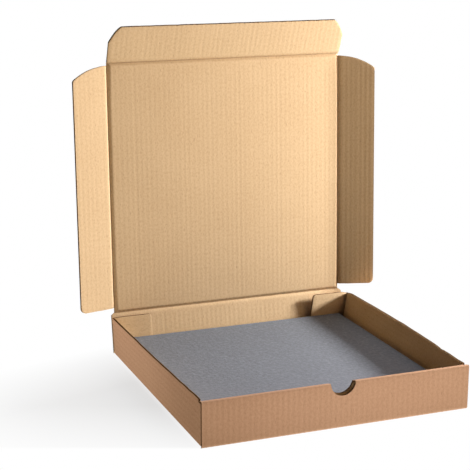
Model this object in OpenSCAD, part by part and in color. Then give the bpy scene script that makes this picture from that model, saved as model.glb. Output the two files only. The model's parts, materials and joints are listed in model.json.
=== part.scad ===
// Flat corrugated mailer box, standing open: a tray with a rolled front wall,
// a back wall, a lid with two side wings and a tuck flap, and a fibre pad on its floor.
// The board folds inwards only: each panel has its outer liner out and its crease grooves in.
// Frame: millimetres, +Z up, -Y the front. The origin is the middle of the tray's underside.

/* [Board] */
// Thickness of the corrugated board
board = 3; // [2:0.1:4]
// Radius of the crushed bead that each moving fold turns on
bead_r = 0.5; // [0.3:0.05:0.7]
// Clearance round that bead
bead_gap = 0.1; // [0.06:0.02:0.2]
// Slope of the groove on each side of a moving fold, from square
groove_slope = 49; // [48:1:55]

/* [Tray] */
// Outside width of the tray
tray_w = 311; // [220:1:420]
// Outside depth of the tray
tray_d = 317; // [220:1:420]
// Height of the two side walls at the rear
wall_h = 47.5; // [36:0.5:90]
// How far their tops rise towards the front
rim_rise = 3; // [0:0.5:3]
// How far the rolled front wall stands above the side walls' rear
front_rise = 3.5; // [3.5:0.5:6]
// How far the closed lid's outside stands above the side walls' rear
lid_rise = 3.5; // [3.5:0.5:8]
// Clearance on each side of a panel tucked inside the board
tuck_gap = 0.25; // [0.15:0.05:0.5]
// Length of the side walls at the front that the rolled wall holds upright
held_len = 20; // [20:1:80]
// Length behind it on which the walls come to their full lean
lean_len = 130; // [80:1:150]
// Lean of the left wall, outwards
left_splay = 3; // [0:0.5:8]
// Lean of the right wall, outwards
right_splay = 8; // [0:0.5:8]
// Length of the cut at the side walls' rear corners
wall_cut_l = 11; // [6:0.5:20]
// Depth of that cut on the left wall, for the wing to pass over
left_cut = 0.5; // [0.5:0.1:3]
// Depth of that cut on the right wall
right_cut = 2.2; // [0.5:0.1:3]
// Width of the same cut on the rear ears
ear_cut_w = 7; // [4:0.5:12]

/* [Front wall] */
// Radius of the thumb notch in the middle of the front wall
notch_r = 14.5; // [8:0.5:24]
// Distance of the notch from the middle, to the right
notch_x = 3.5; // [-6:0.5:6]
// Length of the front ears that the rolled wall encloses
front_ear_l = 46; // [20:1:80]
// Width of each lock tab that holds the rolled wall down
tab_w = 38; // [20:1:60]
// Distance of each lock tab from the middle
tab_x = 92; // [60:1:105]

/* [Rear ears] */
// Length of the rear ears, folded in from the side walls
rear_ear_l = 47; // [25:1:80]
// Radius of the ears' free top corners
rear_ear_r = 5; // [2:0.5:12]

/* [Back wall and lid] */
// Lean of the back wall away from upright
back_lean = 9; // [0:0.5:20]
// Lean of the open lid away from upright
lid_lean = 2.5; // [0:0.5:8]
// Clearance between the closed lid's folds and the tray's inside
lid_gap = 0.5; // [0.3:0.1:2]
// Clearance between the closed tuck flap and the front wall
tuck_clear = 1.5; // [1:0.1:6]
// Cut-back of the back wall's top corners beside the lid
corner_cut = 3; // [1:0.5:3]

/* [Tuck flap] */
// Height of the tuck flap beyond the lid's front crease
tuck_h = 47.5; // [30:0.5:55]
// Fold of the tuck flap, inwards from flat
tuck_fold = 24; // [0:1:90]
// Width of the cut at each free corner
tuck_cut_w = 14; // [5:0.5:30]
// Height of that cut
tuck_cut_h = 20; // [8:0.5:28]
// Bulge of that cut
tuck_bulge = 1.6; // [0.5:0.1:3]

/* [Wings] */
// Clearance of the tucked wings above the tray's floor
wing_floor_gap = 1; // [0.5:0.5:10]
// Clearance of the tucked wings in front of the rear ears
wing_end_gap = 0.5; // [0.4:0.1:4]
// Radius of the round end of each wing
wing_end_r = 68; // [50:1:120]
// Clearance of that round end behind the folded tuck flap
wing_top_gap = 0.5; // [0.5:0.5:8]
// Radius of the corner between that round end and the wing's free edge
wing_tip_r = 2.5; // [1:0.5:5]
// Radius of the other free corner
wing_corner_r = 6.5; // [2:0.5:14]
// Fold of the left wing, inwards from flat
left_fold = 14.5; // [0:0.5:90]
// Fold of the right wing, inwards from flat
right_fold = 20; // [0:0.5:90]

/* [Pad] */
// Thickness of the fibre pad
pad_t = 18; // [2:0.5:30]
// Gap between the pad and the side walls
pad_side_gap = 4.5; // [4.5:0.5:20]
// Gap between the pad and the rear ears
pad_back_gap = 1; // [0.5:0.5:20]
// Gap between the pad and the front wall
pad_front_gap = 10; // [8:0.5:40]
// Radius of the pad's corners
pad_r = 3; // [1:0.5:12]

/* [Hidden] */
$fn = 64;

kraft_out = "#c08f66";
kraft_in = "#d2a874";
pad_grey = "#82858c";
eps = 0.01;
far = 2 * (tray_w + tray_d);
arc_steps = 10;

// Folds: half of the slit at a fold's outer face, and the groove's half width inside
half_slit = bead_gap / 2;
groove_w = (board - bead_r) * tan(groove_slope);
groove_reach = 4 * board;

// Walls
front_h = wall_h + front_rise;
back_h = wall_h + lid_rise;
front_t = 3 * board + 2 * tuck_gap;
front_y = -tray_d / 2;
front_inner_y = front_y + front_t;
back_y = tray_d / 2;
inner_half_w = tray_w / 2 - board;
rear_end_y = back_y - board - tuck_gap;
ear_front_y = rear_end_y - board;
back_len = back_h - 2 * bead_r;

// Lid and flaps, measured between fold lines
lid_half_w = inner_half_w - lid_gap - bead_r;
lid_len = tray_d - front_t - tuck_clear - 2 * bead_r;
wing_w = back_h - bead_r - board - wing_floor_gap;
wing_start = back_y - bead_r - ear_front_y + wing_end_gap;
wing_end = lid_len - (board - bead_r) - wing_top_gap;
lid_fold = back_lean - lid_lean;

// Pad
pad_half_w = inner_half_w - pad_side_gap;
pad_y0 = front_inner_y + pad_front_gap;
pad_y1 = ear_front_y - pad_back_gap;

// Turn inwards about a fold line along X, from a panel whose outside is at z = 0
module fold(at, angle) {
    translate([0, at, bead_r])
        rotate([angle, 0, 0])
            translate([0, 0, -bead_r])
                children();
}

// The same turn about a fold line along Y
module side_fold(at, angle) {
    translate([at, 0, bead_r])
        rotate([0, -angle, 0])
            translate([0, 0, -bead_r])
                children();
}

// Frames of the moving panels
module on_back_wall() {
    translate([0, back_y - bead_r, 0])
        fold(0, 90 - back_lean)
            children();
}

module on_lid() {
    on_back_wall()
        fold(back_len, lid_fold)
            children();
}

// What a fold takes from the end of a panel that runs from y = 0 along +Y:
// the slit at the outer face and the sloping side of the groove
module groove(length) {
    rotate([90, 0, 90])
        linear_extrude(length, center = true)
            polygon([
                [-groove_reach, -board],
                [half_slit, -board],
                [half_slit, bead_r],
                [half_slit + groove_w + tan(groove_slope) * board, 2 * board],
                [-groove_reach, 2 * board]
            ]);
}

// The round bead of a fold along X, or the hollow that turns round it
module bead(length, gap = 0) {
    translate([0, 0, bead_r])
        rotate([0, 90, 0])
            cylinder(r = bead_r + gap, h = length, center = true);
}

// End of a panel at a fold that its neighbour's bead lies in
module hollow_end(length) {
    groove(length);
    bead(length, bead_gap);
}

// Frame of a fold end that faces another way: the end at y = at, looking back
module far_end(at) {
    translate([0, at, 0])
        mirror([0, 1, 0])
            children();
}

// Frame of a fold end at x = at, for a panel that lies on its -X side
module side_end(at) {
    translate([at, 0, 0])
        rotate([0, 0, 90])
            children();
}

// Points on a circle of radius r round a centre, from one angle to another
function arc(centre, r, from, to) =
    [for (i = [0 : arc_steps])
        let (a = from + (to - from) * i / arc_steps)
        centre + r * [cos(a), sin(a)]];

// Outer board of the front wall and the strip it is rolled over to, in Y and Z
module front_section() {
    polygon(concat(
        [[front_inner_y, 0]],
        arc([front_y + board, board], board, 270, 180),
        arc([front_y + board, front_h - board], board, 180, 90),
        arc([front_inner_y - board, front_h - board], board, 90, 0),
        [
            [front_y + board, front_h - board],
            [front_y + board, board],
            [front_inner_y, board]
        ]
    ));
}

// Front wall: rolled over the ears, with its inner board standing between the side walls
module front_wall() {
    inner_half = inner_half_w - tuck_gap;
    difference() {
        union() {
            rotate([90, 0, 90])
                linear_extrude(tray_w, center = true)
                    front_section();
            translate([-inner_half, front_inner_y - board, board - eps])
                cube([2 * inner_half, board, front_h - 2 * board + 2 * eps]);
        }
        translate([notch_x, front_y + front_t / 2, front_h])
            rotate([90, 0, 0])
                cylinder(r = notch_r, h = 2 * front_t, center = true);
    }
}

// Height of a side wall's top at y
function rim(y) =
    wall_h + rim_rise * (rear_end_y - y) / (rear_end_y - front_inner_y);

// Right side wall: upright where the front holds it, then leaning out.
// The sheet can't stretch, so it bends along one diagonal. Its rear corner is cut for the wing to pass.
module side_wall(splay, cut) {
    start_y = front_y + board + tuck_gap;
    step_y = front_inner_y + 2 * tuck_gap;
    held_y = front_inner_y + held_len;
    lean_y = held_y + lean_len;
    cut_y = rear_end_y - wall_cut_l;
    translate([inner_half_w, 0, 0])
        rotate([90, 0, 90])
            linear_extrude(board)
                polygon([
                    [start_y, board],
                    [held_y, board],
                    [held_y, rim(held_y)],
                    [step_y, rim(step_y)],
                    [step_y, wall_h],
                    [start_y, wall_h]
                ]);
    outline = [
        [held_y, board],
        [rear_end_y, board],
        [rear_end_y, wall_h - cut],
        [cut_y, rim(cut_y)],
        [lean_y, rim(lean_y)]
    ];
    inner = concat(
        [for (p = outline) [inner_half_w + (p[1] - board) * tan(splay), p[0], p[1]]],
        [[inner_half_w, held_y, rim(held_y)]]
    );
    outer = [for (p = inner) p + [board, 0, 0]];
    n = len(inner);
    polyhedron(
        points = concat(inner, outer),
        faces = concat(
            [[0, 1, 2, 3, 4], [0, 4, 5]],
            [[n, n + 4, n + 3, n + 2, n + 1], [n, n + 5, n + 4]],
            [for (i = [0 : n - 1]) let (j = (i + 1) % n) [i, i + n, j + n, j]]
        )
    );
}

// Right front ear, between the two boards of the front wall
module front_ear() {
    translate([tray_w / 2 - front_ear_l, front_y + board + tuck_gap, board])
        cube([front_ear_l, board, wall_h - board - tuck_gap]);
}

// Outline of a rear ear, from its wall at x = 0 to its round free end
module ear_outline() {
    ear_h = wall_h;
    polygon(concat(
        [[-board / 2, board / 2], [rear_ear_l, board / 2]],
        arc([rear_ear_l - rear_ear_r, ear_h - rear_ear_r], rear_ear_r, 0, 90),
        [[-board / 2, ear_h]]
    ));
}

// Right rear ear: leans with its wall, and is trimmed level with the wall's top
module rear_ear(splay, cut) {
    edge_x = tray_w / 2 + (wall_h - board) * tan(splay);
    intersection() {
        translate([inner_half_w, rear_end_y, board])
            rotate([90, 0, 0])
                rotate(-splay)
                    linear_extrude(board)
                        mirror([1, 0])
                            ear_outline();
        rotate([90, 0, 0])
            linear_extrude(far, center = true)
                polygon([
                    [0, 0],
                    [edge_x, 0],
                    [edge_x, wall_h - cut],
                    [edge_x - ear_cut_w, wall_h],
                    [0, wall_h]
                ]);
    }
}

module right_side(splay, cut) {
    side_wall(splay, cut);
    front_ear();
    rear_ear(splay, cut);
}

// Floor of the tray, in X and Z, with round outer edges under the side walls
module floor_section() {
    polygon(concat(
        [[-tray_w / 2, board]],
        arc([-inner_half_w, board], board, 180, 270),
        arc([inner_half_w, board], board, 270, 360)
    ));
}

module floor_board() {
    translate([0, back_y - bead_r, 0])
        rotate([90, 0, 0])
            linear_extrude(back_y - bead_r - front_inner_y + eps)
                floor_section();
}

// A slot in the floor for a lock tab of the rolled wall, and the tab in it
module tab_slot() {
    translate([0, front_inner_y - board / 2, 0])
        cube([tab_w + 2 * tuck_gap, board + 2 * tuck_gap, 2 * board + eps], center = true);
}

module lock_tab() {
    translate([-tab_w / 2, front_inner_y - board, tuck_gap])
        cube([tab_w, board, 2 * board]);
}

module tray() {
    color(kraft_out)
        union() {
            difference() {
                union() {
                    floor_board();
                    front_wall();
                }
                far_end(back_y - bead_r)
                    groove(far);
                for (side = [-1, 1])
                    translate([side * tab_x, 0, 0])
                        tab_slot();
            }
            for (side = [-1, 1])
                translate([side * tab_x, 0, 0])
                    lock_tab();
            translate([0, back_y - bead_r, 0])
                bead(2 * inner_half_w);
            right_side(right_splay, right_cut);
            mirror([1, 0, 0])
                right_side(left_splay, left_cut);
        }
}

// Outline of the back wall: full width below, cut back at the top beside the lid
module back_outline() {
    half_w = tray_w / 2;
    top_half_w = lid_half_w + bead_r;
    polygon([
        [-half_w, 0],
        [half_w, 0],
        [half_w, back_len - corner_cut],
        [top_half_w, back_len],
        [-top_half_w, back_len],
        [-half_w, back_len - corner_cut]
    ]);
}

module back_wall() {
    color(kraft_in)
        on_back_wall() {
            difference() {
                linear_extrude(board)
                    back_outline();
                hollow_end(far);
                far_end(back_len)
                    groove(far);
            }
            translate([0, back_len, 0])
                bead(2 * lid_half_w);
        }
}

module lid_panel() {
    color(kraft_in)
        on_lid() {
            difference() {
                translate([-lid_half_w, 0, 0])
                    cube([2 * lid_half_w, lid_len, board]);
                hollow_end(far);
                far_end(lid_len)
                    groove(far);
                for (side = [0, 1])
                    mirror([side, 0, 0])
                        side_end(lid_half_w)
                            groove(far);
            }
            translate([0, lid_len, 0])
                bead(2 * (lid_half_w - groove_w));
            for (side = [-1, 1])
                translate([side * lid_half_w, (wing_start + wing_end) / 2, 0])
                    rotate([0, 0, 90])
                        bead(wing_end - wing_start);
        }
}

// Points of a shallow arc from a to b, bulging to the right of the way it runs
function bulged(a, b, bulge) =
    let (way = b - a, side = [way[1], -way[0]] / norm(way))
    [for (i = [0 : arc_steps])
        let (t = i / arc_steps)
        a + t * way + 4 * t * (1 - t) * bulge * side];

// Rounds the free corners of an outline
module soft_corners(r) {
    offset(r = r)
        offset(delta = -r)
            children();
}

module tuck_outline() {
    half_w = lid_half_w;
    low = [half_w, tuck_h - tuck_cut_h];
    high = [half_w - tuck_cut_w, tuck_h];
    right_cut = bulged(low, high, tuck_bulge);
    left_cut = [for (i = [arc_steps : -1 : 0]) [-right_cut[i][0], right_cut[i][1]]];
    polygon(concat([[-half_w, 0], [half_w, 0]], right_cut, left_cut));
}

module tuck_flap() {
    color(kraft_in)
        on_lid()
            fold(lid_len, tuck_fold)
                difference() {
                    linear_extrude(board)
                        tuck_outline();
                    hollow_end(far);
                }
}

// Outline of the right wing: fold line at x = 0, round end towards the lid's front crease
module wing_outline() {
    root = -2 * wing_tip_r;
    tip = acos(wing_w / wing_end_r);
    soft_corners(wing_tip_r)
        polygon(concat(
            [[root, wing_start]],
            arc([wing_w - wing_corner_r, wing_start + wing_corner_r], wing_corner_r, 270, 360),
            arc([0, wing_end - wing_end_r], wing_end_r, tip, 90),
            [[root, wing_end]]
        ));
}

module wing(angle) {
    color(kraft_in)
        on_lid()
            side_fold(lid_half_w, angle)
                difference() {
                    linear_extrude(board)
                        wing_outline();
                    rotate([0, 0, -90])
                        hollow_end(far);
                }
}

module left_wing() {
    mirror([1, 0, 0])
        wing(left_fold);
}

module right_wing() {
    wing(right_fold);
}

module liner_pad() {
    color(pad_grey)
        translate([0, 0, board])
            linear_extrude(pad_t)
                hull()
                    for (x = [-1, 1], y = [pad_y0 + pad_r, pad_y1 - pad_r])
                        translate([x * (pad_half_w - pad_r), y])
                            circle(pad_r, $fn = 32);
}

tray();
back_wall();
lid_panel();
tuck_flap();
left_wing();
right_wing();
liner_pad();
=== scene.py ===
"""Open corrugated mailer box with a grey fibre pad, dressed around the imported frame.

Every panel is real corrugated board: an outer liner, a fluted medium and an inner liner, each a thin closed
sheet. A sheet is a grid of columns across the flutes (u) and rows along them (v), and w is the height above
the outer face. Metres, +Z up, -Y the front.
"""
import json
import math

import bpy
import numpy as np
from mathutils import Matrix, Vector


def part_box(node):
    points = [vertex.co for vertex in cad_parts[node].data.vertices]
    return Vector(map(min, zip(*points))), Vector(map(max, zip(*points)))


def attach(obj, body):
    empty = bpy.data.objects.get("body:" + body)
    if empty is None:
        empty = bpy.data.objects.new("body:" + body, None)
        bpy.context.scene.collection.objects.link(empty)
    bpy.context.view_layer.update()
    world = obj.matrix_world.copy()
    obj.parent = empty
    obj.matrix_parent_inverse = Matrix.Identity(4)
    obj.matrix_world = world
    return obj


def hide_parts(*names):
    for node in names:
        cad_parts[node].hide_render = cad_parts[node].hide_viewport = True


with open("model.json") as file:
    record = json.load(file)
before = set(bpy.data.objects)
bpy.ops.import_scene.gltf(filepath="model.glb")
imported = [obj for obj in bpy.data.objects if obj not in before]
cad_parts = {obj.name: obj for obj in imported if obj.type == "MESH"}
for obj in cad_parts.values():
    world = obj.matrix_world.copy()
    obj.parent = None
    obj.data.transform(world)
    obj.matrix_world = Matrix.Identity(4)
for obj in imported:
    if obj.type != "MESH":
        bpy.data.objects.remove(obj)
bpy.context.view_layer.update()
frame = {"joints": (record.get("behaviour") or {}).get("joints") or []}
joints = {joint["name"]: joint for joint in frame["joints"]}

# Board: its papers, its flutes, and the width of the grid's columns on panels, small parts and the floor
BOARD = 0.003
LINER = 0.00032
MEDIUM = 0.00026
MEDIUM_CLEAR = 0.00002
FLUTE = 0.0061
COLUMN = FLUTE / 8
SMALL_COLUMN = FLUTE / 10
FLOOR_COLUMN = FLUTE / 4

# Its unevenness, with the shortest and longest waves across the flutes and along them
WASHBOARD = 0.000058
DIP_ACROSS = 0.45
DIP_ACROSS_WAVES = (0.009, 0.06)
DIP_ALONG = 0.3
DIP_ALONG_WAVES = (0.05, 0.2)
WARP = 0.00016
WARP_ACROSS_WAVES = (0.07, 0.25)
WARP_ALONG_WAVES = (0.09, 0.3)
CUT_PINCH = 0.00035
CUT_SOFT = 0.0011

# Where a panel's paper pattern starts, for each step of its seed: whole flutes across, metres along
SEED_FLUTES = 61
SEED_ALONG = 0.23

# Rows of the panels: their usual steps, and the places of extra rows at creases and cut edges
LID_ROW = 0.019
FLOOR_ROW = 0.020
FRONT_ROW = 0.007
FLAP_ROW = 0.006
CREASE_STEPS = (0.0003, 0.0008, 0.0013, 0.0018, 0.0023, 0.0028, 0.0034, 0.0042, 0.0055)
CUT_STEPS = (0.0005, 0.0012, 0.0024)
FOOT_STEPS = (0.0005, 0.0015)

# Creases, as in the solids: panels turn on a bead just inside the outer liner
BEAD_R = 0.0005
HALF_SLIT = 0.00004
GROOVE_RISE = 0.86
GROOVE_SOFT = 0.0007
# Tone near creases, wear and painted shade in the groove: how far it reaches, how strong it is, how it falls
# off
CREASE_WEAR_SHADE_REACH = 0.0045
CREASE_WEAR_AND_SHADE = 0.06
CREASE_WEAR_SHADE_FALL = 1.5
BITE = 0.10
MEET_SOFT = 0.0003
GROOVE_WIDEN = 0.55
GROOVE_WIDEN_LEN = 0.022
# Painted highlight on the lid's side of the right wing's groove, where it faces the key light: strength and
# width
GROOVE_HIGHLIGHT = 1.6
GROOVE_HIGHLIGHT_W = 0.0018

# Tray
TRAY_W = 0.311
TRAY_D = 0.317
WALL_H = 0.0475
RIM_RISE = 0.003
FRONT_H = 0.051
TUCK_GAP = 0.00025
HELD_LEN = 0.020
LEAN_LEN = 0.130
FRONT_T = 3 * BOARD + 2 * TUCK_GAP
BEND_R = BOARD
BEND_LEN = BEND_R * math.pi / 2
BEND_H = 0.0021
BEND_SPREAD = 0.003
# Tone in fixed bends, wear and painted shade, as a share of a crease's
BEND_WEAR_AND_SHADE = 0.8
ROLL_R = 0.0019
ROLL_LEN = ROLL_R * math.pi / 2
ROLL_H = 0.0013
ROLL_SPREAD = 0.0026
ROLL_FALL = 0.0018
# Darkening of the rolled top, wear and painted shade, and how much it varies with the flutes
ROLL_WEAR_AND_SHADE = 0.9
ROLL_WEAR_AND_SHADE_VARIES = 0.08
LEFT_SPLAY = math.radians(3)
RIGHT_SPLAY = math.radians(8)
LEAN_SOFT = 0.08
LEAN_MOST = 1.2
WALL_CUT_L = 0.011
LEFT_CUT = 0.0005
RIGHT_CUT = 0.0022
EAR_CUT_W = 0.007
NOTCH_R = 0.0145
NOTCH_X = 0.0035
NOTCH_COLUMNS = 41
INNER_NOTCH_COLUMNS = 31
TAB_W = 0.038
TAB_X = 0.092
REAR_EAR = 0.047
REAR_EAR_R = 0.0034
FRONT_EAR = 0.046
FRONT_EAR_R = 0.004
EAR_FLOOR_GAP = 0.0004
FLOOR_EVEN_Y = 0.12
WALL_OFF_CREASE = 0.02
RIM_STEP = 0.0004
RIM_WAVE = 0.0004
RIM_WAVES = (0.02, 0.16)
RIM_CALM = 0.05
DENT = 0.0011
DENT_Y = -0.096
DENT_W = 0.0045

HALF_W = TRAY_W / 2
INNER_HALF_W = HALF_W - BOARD
FRONT_Y = -TRAY_D / 2
BACK_Y = TRAY_D / 2
FRONT_INNER_Y = FRONT_Y + FRONT_T
REAR_END_Y = BACK_Y - BOARD - TUCK_GAP
WALL_START_Y = FRONT_Y + BOARD + TUCK_GAP

# Front wall, along its outer face: where each bend and each flat stretch ends
TOP_Z = FRONT_H - ROLL_R
STRIP_LEN = FRONT_T - 2 * ROLL_R
FRONT_RISE = TOP_Z - BEND_R
FRONT_STUB = WALL_START_Y - FRONT_Y - BEND_R
FRONT_MARKS = np.cumsum([FRONT_STUB, BEND_LEN, FRONT_RISE, ROLL_LEN, STRIP_LEN, ROLL_LEN])
ROLL_STARTS = FRONT_MARKS[[2, 4]]

# Lid flaps
TUCK_H = 0.0475
TUCK_CUT_W = 0.014
TUCK_CUT_H = 0.020
TUCK_BULGE = 0.0016
TUCK_CUT_WAVE = 0.00012
TUCK_CUT_WAVES = (0.012, 0.08)
WING_W = 0.0465
WING_START = 0.00625
WING_TOP_GAP = 0.0030
WING_END_R = 0.078
WING_TIP_R = 0.0025
WING_TIP_FALL = 0.55
WING_CORNER_R = 0.0065
WING_CUT_WAVE = 0.00010
WING_CUT_WAVES = (0.01, 0.05)
WING_EDGE_STEPS = (0.00004, 0.0002, 0.0005, 0.001, 0.0017, 0.0026)
WING_ROW_SHARE = 0.045
WING_END_SHARES = (0.003, 0.008, 0.016)
# Stripes of painted shade and painted highlight across the left wing's flutes
LEFT_WING_FLUTE_SHADE = 0.022
CORNER_CUT = 0.003

# Pad
PAD_EDGE_R = 0.0022
PAD_CORNER_R = 0.003
PAD_EDGE_STEPS = np.array([0.0001, 0.0004, 0.0008, 0.0013, 0.0018, 0.0024, 0.0030])
PAD_COLUMN_SHARE = 0.018
PAD_ROW = 0.0027
PAD_FUZZ = 0.00028
PAD_FUZZ_WAVES = (0.007, 0.12)
PAD_CROSS_WAVES = (0.006, 0.10)
PAD_FUZZ_FALL = 0.7
PAD_FOOT_FALL = 0.6

# Photograph's camera: azimuth and elevation of the view, and the picture's framing
VIEW_AZIMUTH = math.radians(-21.47)
VIEW_ELEVATION = math.radians(14.21)
VIEW_ROLL = math.radians(0.17)
VIEW_DISTANCE = 1.5758
VIEW_SHIFT_X = 0.05305
VIEW_SHIFT_Y = -0.16867
PICTURE_PX = 470
FOCAL_PX = 1351.09
SENSOR_MM = 36.0

# Places of the finishes in a board piece
OUTSIDE, INSIDE, CORE = range(3)
SHARP_EDGE = math.radians(38)


def joint_point(name):
    """A point on the axis of the named joint."""
    return np.array(joints[name]["pos_m"], float)


def unit(vector):
    """The vector divided by its length."""
    return np.asarray(vector, float) / np.linalg.norm(vector)


def smooth_min(a, b, soft):
    """The lower of a and b, with the corner between them rounded over about soft."""
    return 0.5 * (a + b - np.sqrt((a - b) ** 2 + soft ** 2))


def ripple(x, seed, shortest, longest, terms=7):
    """A sum of sines of chance phase, with wavelengths from shortest to longest in even ratios, divided by
    the square root of their number and a little more, so that it stays within about -1 to 1."""
    chance = np.random.RandomState(seed)
    total = np.zeros_like(np.asarray(x, float))
    for wavelength in np.geomspace(shortest, longest, terms):
        total = total + np.sin(2 * np.pi * (np.asarray(x) / wavelength + chance.rand()))
    return total / terms ** 0.5 / 1.4


def stations(low, high, step, dense_low=(), dense_high=()):
    """Evenly spaced places from low to high, with extra ones at given distances from either end."""
    count = max(2, int(round((high - low) / step)) + 1)
    return merged(np.linspace(low, high, count), low + np.asarray(dense_low), high - np.asarray(dense_high))


def merged(*places):
    """All the given places in order, each once, to a tenth of a micron."""
    return np.unique(np.round(np.concatenate(places), 7))


def wave(u):
    """A cosine of u that has one crest to each flute."""
    return np.cos(2 * np.pi * u / FLUTE)


def repeated(rows, u):
    """The same rows in every column of u."""
    return np.broadcast_to(rows[None, :], (len(u), len(rows))).copy()


def closed_sheet(lower, upper, keep=None):
    """Faces of the closed skin over two grids of points of one shape: a quad on each kept cell of both grids,
    and a quad between them wherever a kept cell has no kept neighbour. Cells that keep leaves out are holes.
    Gives the faces and a tag for each: 0 lower, 1 upper, 2 edge."""
    n, m = lower.shape[:2]
    keep = np.ones((n - 1, m - 1), bool) if keep is None else keep
    low = np.arange(n * m).reshape(n, m)
    up = low + n * m
    cells = np.nonzero(keep)

    def quads(a, b, c, d):
        """Faces from the points at their four corners."""
        return np.stack([a, b, c, d], -1).reshape(-1, 4)

    def cell(grid):
        """The points at the four corners of each kept cell."""
        i, j = cells
        return grid[i, j], grid[i + 1, j], grid[i + 1, j + 1], grid[i, j + 1]

    a, b, c, d = cell(up)
    top = quads(a, b, c, d)
    a, b, c, d = cell(low)
    bottom = quads(a, d, c, b)
    padded = np.pad(keep, 1)
    sides = []
    before, after = padded[1:-1, :-1], padded[1:-1, 1:]
    for mask, turned in ((after & ~before, False), (before & ~after, True)):
        i, j = np.nonzero(mask)
        ring = [low[i, j], low[i + 1, j], up[i + 1, j], up[i, j]]
        sides.append(quads(*(ring[::-1] if turned else ring)))
    before, after = padded[:-1, 1:-1], padded[1:, 1:-1]
    for mask, turned in ((after & ~before, False), (before & ~after, True)):
        i, j = np.nonzero(mask)
        ring = [low[i, j + 1], low[i, j], up[i, j], up[i, j + 1]]
        sides.append(quads(*(ring[::-1] if turned else ring)))
    sides = np.concatenate(sides)
    faces = np.concatenate([bottom, top, sides])
    tags = np.repeat([0, 1, 2], [len(bottom), len(top), len(sides)])
    return faces, tags


class Mesh:
    """Collects closed sheets and rods, and puts them into one Blender mesh."""

    def __init__(self):
        self.points, self.faces, self.finishes, self.uvs, self.wear_shade_and_highlight = [], [], [], [], []
        self.count = 0

    def add(self, points, faces, finishes, uvs, wear_shade_and_highlight):
        """Adds one shell, its faces counted on from the points that are there already."""
        self.points.append(points)
        self.faces.append(faces + self.count)
        self.finishes.append(finishes)
        self.uvs.append(uvs)
        self.wear_shade_and_highlight.append(wear_shade_and_highlight)
        self.count += len(points)

    def sheet(self, lower, upper, uv, wear_shade_and_highlight, finishes, keep=None):
        """One closed sheet, turned so that its faces look outwards. finishes names the finish of its lower
        face, its upper face and its edges."""
        faces, tags = closed_sheet(lower, upper, keep)
        across = np.cross(np.gradient(lower, axis=0), np.gradient(lower, axis=1))
        if np.sum(across * (upper - lower)) < 0:
            faces = faces[:, ::-1]
        points = np.concatenate([lower.reshape(-1, 3), upper.reshape(-1, 3)])
        uvs = np.concatenate([uv.reshape(-1, 2)] * 2)
        crushed = np.concatenate([wear_shade_and_highlight.reshape(-1)] * 2)
        used, compact = np.unique(faces, return_inverse=True)
        faces = compact.reshape(-1, 4)
        self.add(points[used], faces, np.asarray(finishes)[tags], uvs[used], crushed[used])

    def rod(self, start, end, radius, inward, sides=12):
        """A closed round rod: a ring of points at each end, joined by quads and capped by strips across each
        ring. Its half that looks inward has the inside finish."""
        start, end = np.asarray(start, float), np.asarray(end, float)
        along = unit(end - start)
        side = unit(np.cross(along, (0.0, 0.3, 1.0)))
        turn = np.linspace(0, 2 * np.pi, sides, endpoint=False)[:, None]
        ring = radius * (np.cos(turn) * side + np.sin(turn) * np.cross(along, side))
        points = np.concatenate([start + ring, end + ring])
        index = np.arange(sides)
        ahead = np.roll(index, -1)
        wall = np.stack([index, ahead, ahead + sides, index + sides], -1)
        strip = np.arange(sides // 2 - 1)
        cap = np.stack([strip, strip + 1, sides - 2 - strip, sides - 1 - strip], -1)
        faces = np.concatenate([wall, cap[:, ::-1], cap + sides])
        faced = points[faces].mean(axis=1) - (start + end) / 2
        finishes = np.where(faced @ inward > 0, INSIDE, OUTSIDE)
        uvs = np.stack([points @ along, points @ side], -1)
        # The whole rod takes the full tone of wear and painted shade in the crease
        self.add(points, faces, finishes, uvs, np.ones(len(points)))

    def piece(self, name, materials):
        """Puts all shells into one mesh with its UV map, its tone of wear, painted shade and painted
        highlight, and its finishes, at the origin.
        """
        points = np.concatenate(self.points)
        faces = np.concatenate(self.faces)
        corners = faces.reshape(-1)
        mesh = bpy.data.meshes.new(name)
        mesh.vertices.add(len(points))
        mesh.vertices.foreach_set("co", points.astype(np.float32).reshape(-1))
        mesh.loops.add(len(corners))
        mesh.loops.foreach_set("vertex_index", corners.astype(np.int32))
        mesh.polygons.add(len(faces))
        mesh.polygons.foreach_set("loop_start", np.arange(0, len(corners), 4, dtype=np.int32))
        mesh.polygons.foreach_set("material_index", np.concatenate(self.finishes).astype(np.int32))
        uv_map = mesh.uv_layers.new(name="board")
        uv_map.data.foreach_set("uv", np.concatenate(self.uvs)[corners].astype(np.float32).reshape(-1))
        # Tone of wear, painted shade and painted highlight, for the finishes
        wear_shade_and_highlight = mesh.attributes.new("wear_shade_and_highlight", "FLOAT", "POINT")
        wear_shade_and_highlight.data.foreach_set("value", np.concatenate(self.wear_shade_and_highlight).astype(np.float32))
        mesh.update(calc_edges=True)
        mesh.validate()
        mesh.shade_smooth()
        mesh.set_sharp_from_angle(angle=SHARP_EDGE)
        for material in materials:
            mesh.materials.append(material)
        obj = bpy.data.objects.new(name, mesh)
        bpy.context.scene.collection.objects.link(obj)
        return obj


def crease_height(distance):
    """Height of the inner face at a distance from a fold line: the groove's slope up to the full board."""
    return smooth_min(BEAD_R + GROOVE_RISE * distance, BOARD, GROOVE_SOFT)


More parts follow.
